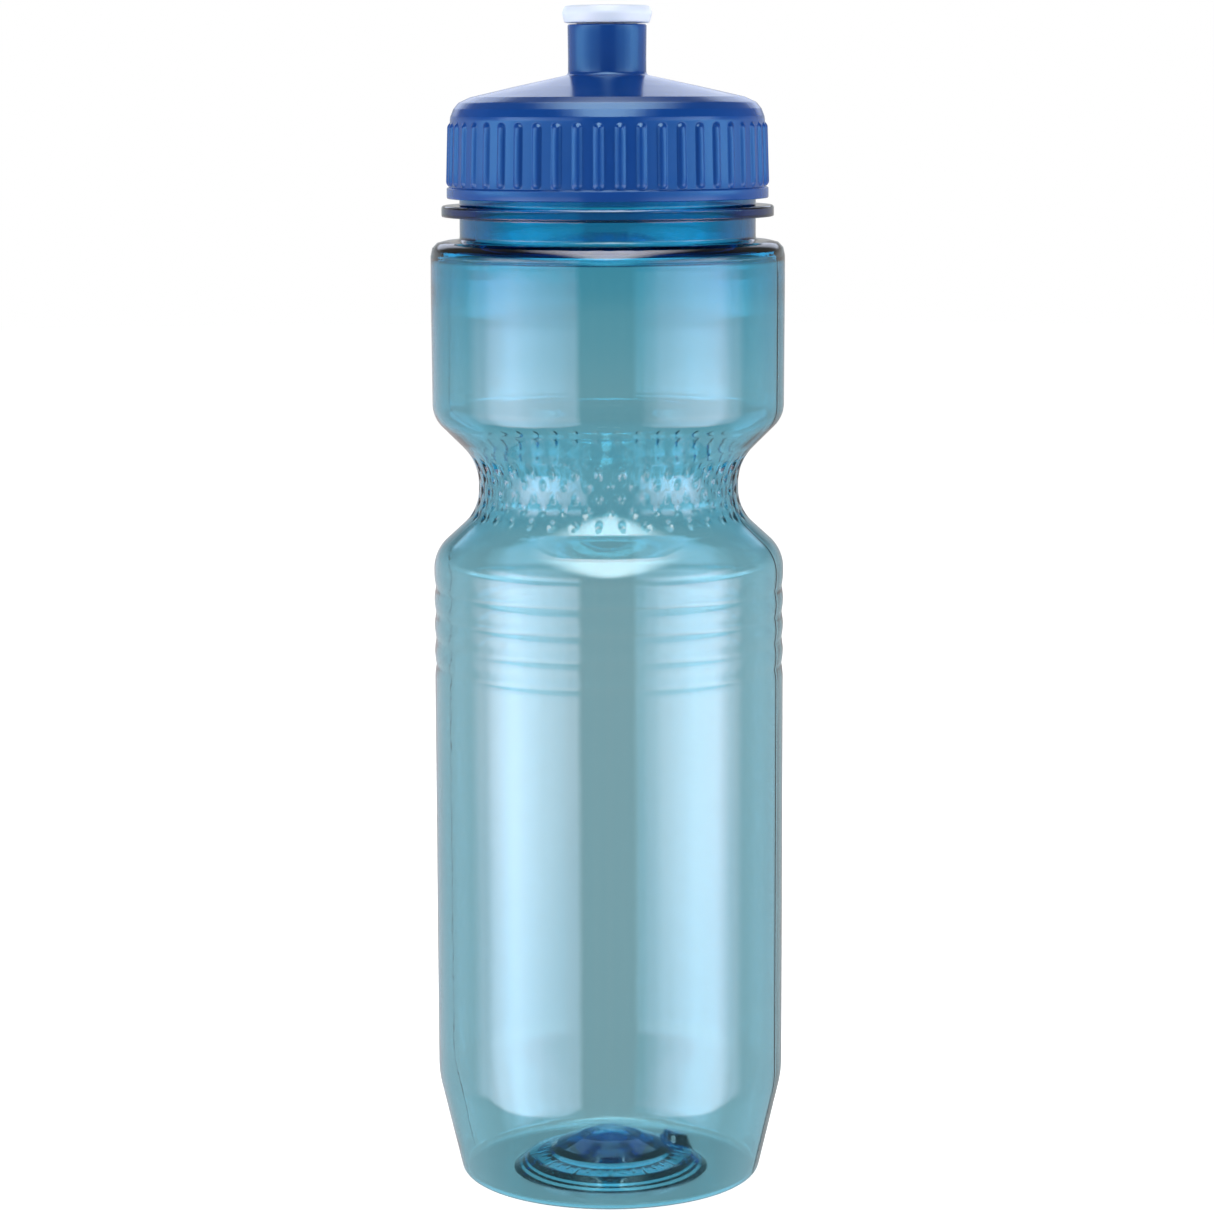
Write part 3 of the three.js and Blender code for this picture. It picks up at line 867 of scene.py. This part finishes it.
def make_floor():
    """A pale matt floor that doesn't show in gloss or through the bottle."""
    mesh = bpy.data.meshes.new("floor")
    corners = [(x * FLOOR_HALF, y * FLOOR_HALF, 0) for x, y in ((-1, -1), (1, -1), (1, 1), (-1, 1))]
    mesh.from_pydata(corners, [], [(0, 1, 2, 3)])
    floor = bpy.data.objects.new("floor", mesh)
    bpy.context.scene.collection.objects.link(floor)
    look, _, shader = material("pale_floor")
    shader.inputs["Base Color"].default_value = (0.9, 0.9, 0.9, 1)
    shader.inputs["Roughness"].default_value = 0.9
    shader.inputs["Specular IOR Level"].default_value = 0.0
    shader.inputs["Emission Color"].default_value = (1, 1, 1, 1)
    shader.inputs["Emission Strength"].default_value = 0.9
    floor.data.materials.append(look)
    floor.visible_glossy = False
    floor.visible_transmission = False


def make_backdrop():
    """A white dome that only the camera sees."""
    backdrop = turned("backdrop", even_angles(48), [(arc(0, 0, BACKDROP_R / MM, -89, 89, 24), 1, None)])
    backdrop.data.materials.append(emitter("white_backdrop")[0])
    for ray in ("diffuse", "glossy", "transmission", "shadow", "volume_scatter"):
        setattr(backdrop, f"visible_{ray}", False)


def make_sky():
    """Dark grey in front, mid grey behind and through the bottle, dimmer above and blue far below."""
    world = bpy.data.worlds.new("studio")
    world.use_nodes = True
    sky = world.node_tree
    toward = linked(sky, "ShaderNodeTexCoord").outputs["Generated"]
    split = linked(sky, "ShaderNodeSeparateXYZ", {"Vector": toward}).outputs
    behind = math_of(sky, "ADD", split["Y"], through_bottle(sky))
    grey = ramp(sky, behind, (-0.2, 0.5), SKY_GREYS, "SMOOTHSTEP")
    above = ramp(sky, split["Z"], (0.05, 0.25), (1.0, SKY_ABOVE))
    below = ramp(sky, split["Z"], (-0.62, -0.32), (1.0, 0.0))
    parts = {0: below, 1: SKY_BELOW, 2: math_of(sky, "MULTIPLY", grey, above)}
    colour = linked(sky, "ShaderNodeVectorMath", parts, operation="MULTIPLY_ADD").outputs["Vector"]
    sky.links.new(colour, sky.nodes["Background"].inputs["Color"])
    bpy.context.scene.world = world


def make_camera():
    """A camera in front of the bottle, level with its cap, that looks slightly down."""
    camera = bpy.data.objects.new("camera", bpy.data.cameras.new("camera"))
    camera.data.lens = LENS_MM
    camera.data.sensor_width = SENSOR_MM
    camera.location = EYE
    tilt = Matrix.Rotation(math.radians(90 - TILT_DEG), 4, "X")
    camera.rotation_euler = (tilt @ Matrix.Rotation(math.radians(ROLL_DEG), 4, "Z")).to_euler()
    bpy.context.scene.collection.objects.link(camera)
    bpy.context.scene.camera = camera


light_wall("left_light", -1, (17, 172), SIDE_HEIGHTS, SIDE_DISTANCE, side_glow(LEFT_STOPS))
light_wall("right_light", 1, (20, 172), SIDE_HEIGHTS, SIDE_DISTANCE, side_glow(RIGHT_STOPS))
overhead("overhead_light", (0, -0.5, 0.85), 0.5, 1.2, 7.0)
light_wall("rear_light", 1, REAR_AZIMUTHS, REAR_HEIGHTS, REAR_DISTANCE, rear_glow)
lamp("left_lamp", on_circle(-72, 1.3, 0.5), 0.7, 13.0)
lamp("right_lamp", on_circle(72, 1.3, 0.5), 0.7, 13.0)
lamp("top_lamp", (0, -0.3, 1.2), 0.8, 4.0)
make_floor()
make_backdrop()
make_sky()
make_camera()
bpy.context.scene.view_settings.view_transform = "Standard"
